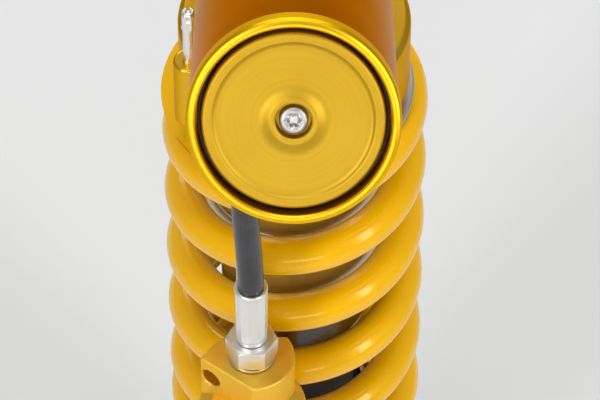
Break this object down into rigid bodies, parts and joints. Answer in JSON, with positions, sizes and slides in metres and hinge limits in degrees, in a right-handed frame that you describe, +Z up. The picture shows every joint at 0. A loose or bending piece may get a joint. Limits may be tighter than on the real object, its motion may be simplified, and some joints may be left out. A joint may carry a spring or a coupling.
{
  "type": "motorcycle rear shock absorber",
  "caption": "Motorcycle rear shock absorber with a coil spring, an angled oil reservoir, a hose-fed preload adjuster, a spherical upper eye and a lower clevis.",
  "frame": {"origin": "centre of the upper eye's spherical bearing", "axes": "+Z up along the damper, +X along the eye's bolt, the reservoir leans out towards -Y"},
  "size_m": [0.079, 0.1783, 0.4067],
  "materials": {
    "gold": "gold anodised, satin",
    "satin_gold": "turned and gold anodised",
    "bronze": "bronze anodised, satin",
    "silver": "clear anodised, satin",
    "steel": "zinc plated",
    "chrome": "hard chrome, ground",
    "dark_tube": "dark coated, glossy",
    "black": "black anodised",
    "hose_jacket": "smooth thermoplastic jacket",
    "rubber": "matt",
    "bump_foam": "matt microcellular",
    "copper": "annealed",
    "spring_yellow": "gloss powder coat"
  },
  "bodies": {
    "head": {"head_casting": "gold", "damper_tube": "dark_tube", "seal_head": "silver", "shaft_wiper": "rubber", "reservoir_barrel": "bronze", "reservoir_rim": "gold", "reservoir_cap": "satin_gold", "cap_circlip": "steel", "cap_seal": "rubber", "cap_screw": "steel", "bearing_race": "steel", "bearing_circlip_left": "steel", "bearing_circlip_right": "steel", "banjo_fitting": "steel", "banjo_bolt": "steel", "banjo_washer_inner": "copper", "banjo_washer_outer": "copper", "upper_ferrule": "steel", "hose": "hose_jacket", "lower_ferrule": "steel", "hose_union": "steel", "union_washer": "steel", "adjuster_body": "gold", "adjuster_gland": "steel", "bracket": "steel", "bracket_screw_top": "steel", "bracket_screw_bottom": "steel", "spring": "spring_yellow"},
    "upper_bearing": {"bearing_ball": "chrome", "ball_spacer_left": "steel", "ball_spacer_right": "steel"},
    "compression_adjuster": {"compression_adjuster": "steel"},
    "floating_piston": {"floating_piston": "satin_gold", "floating_piston_seal": "rubber", "floating_piston_band": "rubber"},
    "preload_knob": {"preload_knob": "black", "adjuster_spindle": "steel", "knob_screw": "steel"},
    "adjuster_piston": {"adjuster_piston": "steel", "adjuster_piston_seal": "rubber"},
    "preload_seat": {"preload_piston": "silver", "preload_seal": "rubber", "upper_spring_seat": "silver"},
    "shaft": {"damper_shaft": "chrome", "main_piston": "steel", "piston_band": "rubber", "compression_shims": "steel", "rebound_shims": "steel", "piston_nut": "steel", "bump_washer": "steel", "bump_rubber": "bump_foam", "lower_spring_seat": "silver", "lower_clevis": "black", "lower_bush_left": "copper", "lower_bush_right": "copper"},
    "rebound_adjuster": {"rebound_knob": "gold", "rebound_rod": "steel"}
  },
  "joints": [
    {"name": "stroke", "type": "slide", "parent": "head", "child": "shaft", "axis": [0, 0, 1], "range_m": [0, 0.04], "stiffness_N_per_m": 110000, "deforming": ["spring", "bump_rubber"]},
    {"name": "preload_travel", "type": "slide", "parent": "head", "child": "preload_seat", "axis": [0, 0, -1], "range_m": [0, 0.008], "deforming": ["spring"]},
    {"name": "preload_turn", "type": "hinge", "parent": "head", "child": "preload_knob", "pos_m": [-0.0129, -0.059, -0.2], "axis": [0, 0, 1], "range_deg": [0, 3600]},
    {"name": "adjuster_travel", "type": "slide", "parent": "head", "child": "adjuster_piston", "axis": [0, 0, 1], "range_m": [0, 0.02]},
    {"name": "floating_travel", "type": "slide", "parent": "head", "child": "floating_piston", "axis": [0, -0.8526, 0.5225], "range_m": [0, 0.0043]},
    {"name": "upper_bearing_turn", "type": "hinge", "parent": "head", "child": "upper_bearing", "pos_m": [0, 0, 0], "axis": [1, 0, 0], "continuous": true},
    {"name": "compression_turn", "type": "hinge", "parent": "head", "child": "compression_adjuster", "pos_m": [-0.0305, -0.018, -0.02], "axis": [0, 0, 1], "range_deg": [0, 720]},
    {"name": "rebound_turn", "type": "hinge", "parent": "shaft", "child": "rebound_adjuster", "pos_m": [0, 0, -0.2477], "axis": [0, 0, 1], "range_deg": [0, 1080]}
  ],
  "couplings": [
    {"joint": "preload_travel", "follows": "adjuster_travel", "ratio": 0.4},
    {"joint": "preload_turn", "follows": "adjuster_travel", "rad_per_m": 3141.6},
    {"joint": "floating_travel", "follows": "stroke", "ratio": 0.1066}
  ]
}
